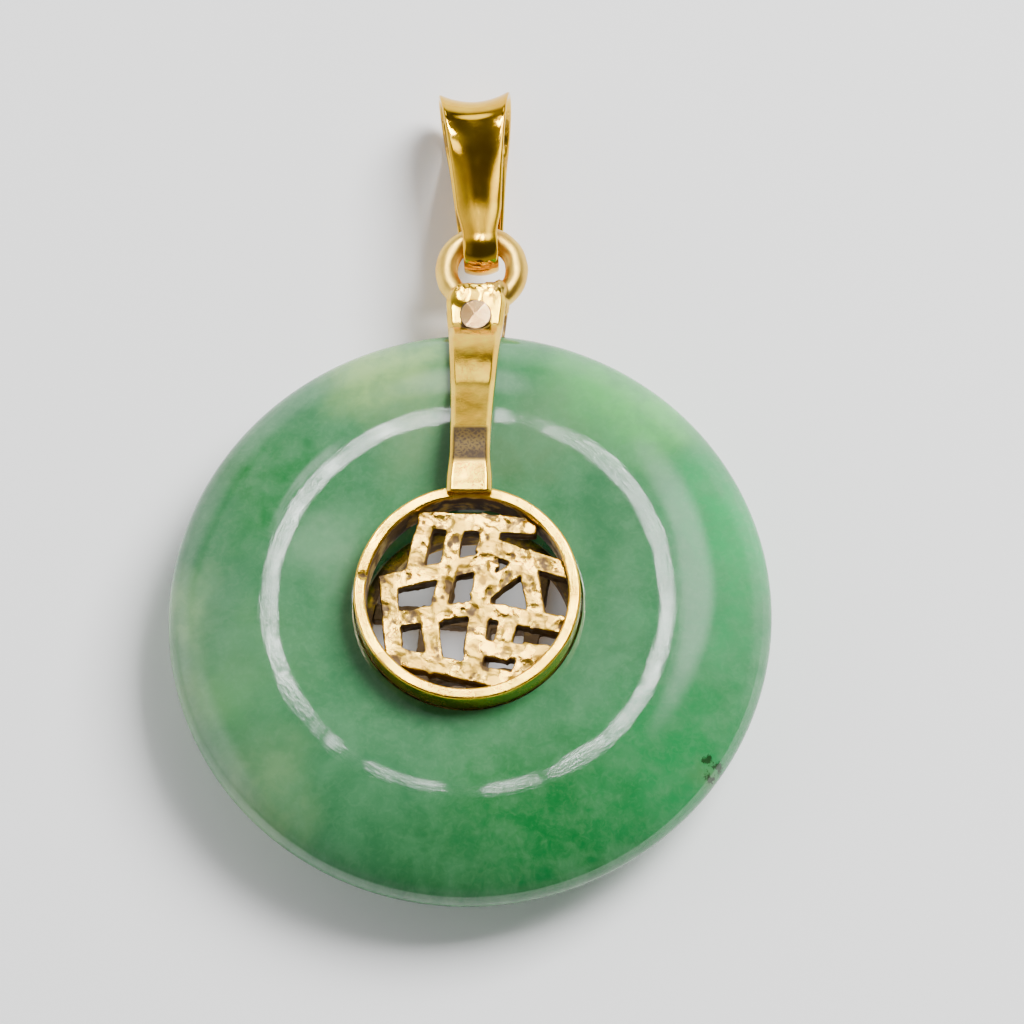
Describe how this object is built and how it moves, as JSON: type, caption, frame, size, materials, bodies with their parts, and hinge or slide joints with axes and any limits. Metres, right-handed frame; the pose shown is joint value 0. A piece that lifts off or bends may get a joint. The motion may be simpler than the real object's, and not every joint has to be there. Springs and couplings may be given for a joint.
{
  "type": "jade bi disc pendant",
  "caption": "Polished green jade bi disc in a yellow gold mount: pierced medallion in the hole, riveted straps, ring and swinging bail.",
  "frame": {"origin": "middle of the footprint, on the surface that the pendant lies on", "axes": "+Z out of the front face, +Y up the pendant to its bail, +X to the right"},
  "size_m": [0.03, 0.0438, 0.0077],
  "materials": {
    "jade": "polished translucent jade, mottled green",
    "collar_gold": "yellow gold, filed and polished",
    "medallion_gold": "yellow gold, rough as cast",
    "strap_gold": "yellow gold, worn and scratched",
    "rivet_gold": "rose gold, hammered flat",
    "ring_gold": "yellow gold, satin",
    "bail_gold": "yellow gold, mirror polished"
  },
  "bodies": {
    "pendant": {"jade_disc": "jade", "front_collar": "collar_gold", "back_collar": "collar_gold", "front_medallion": "medallion_gold", "back_medallion": "medallion_gold", "front_strap": "strap_gold", "back_strap": "strap_gold", "rivet": "rivet_gold", "hanging_ring": "ring_gold"},
    "bail": {"bail": "bail_gold"}
  },
  "joints": [
    {"name": "bail_swing", "type": "hinge", "parent": "pendant", "child": "bail", "pos_m": [0.00011, 0.01343, 0.0033], "axis": [0.9981, 0.061, 0], "range_deg": [-110, 135]}
  ]
}
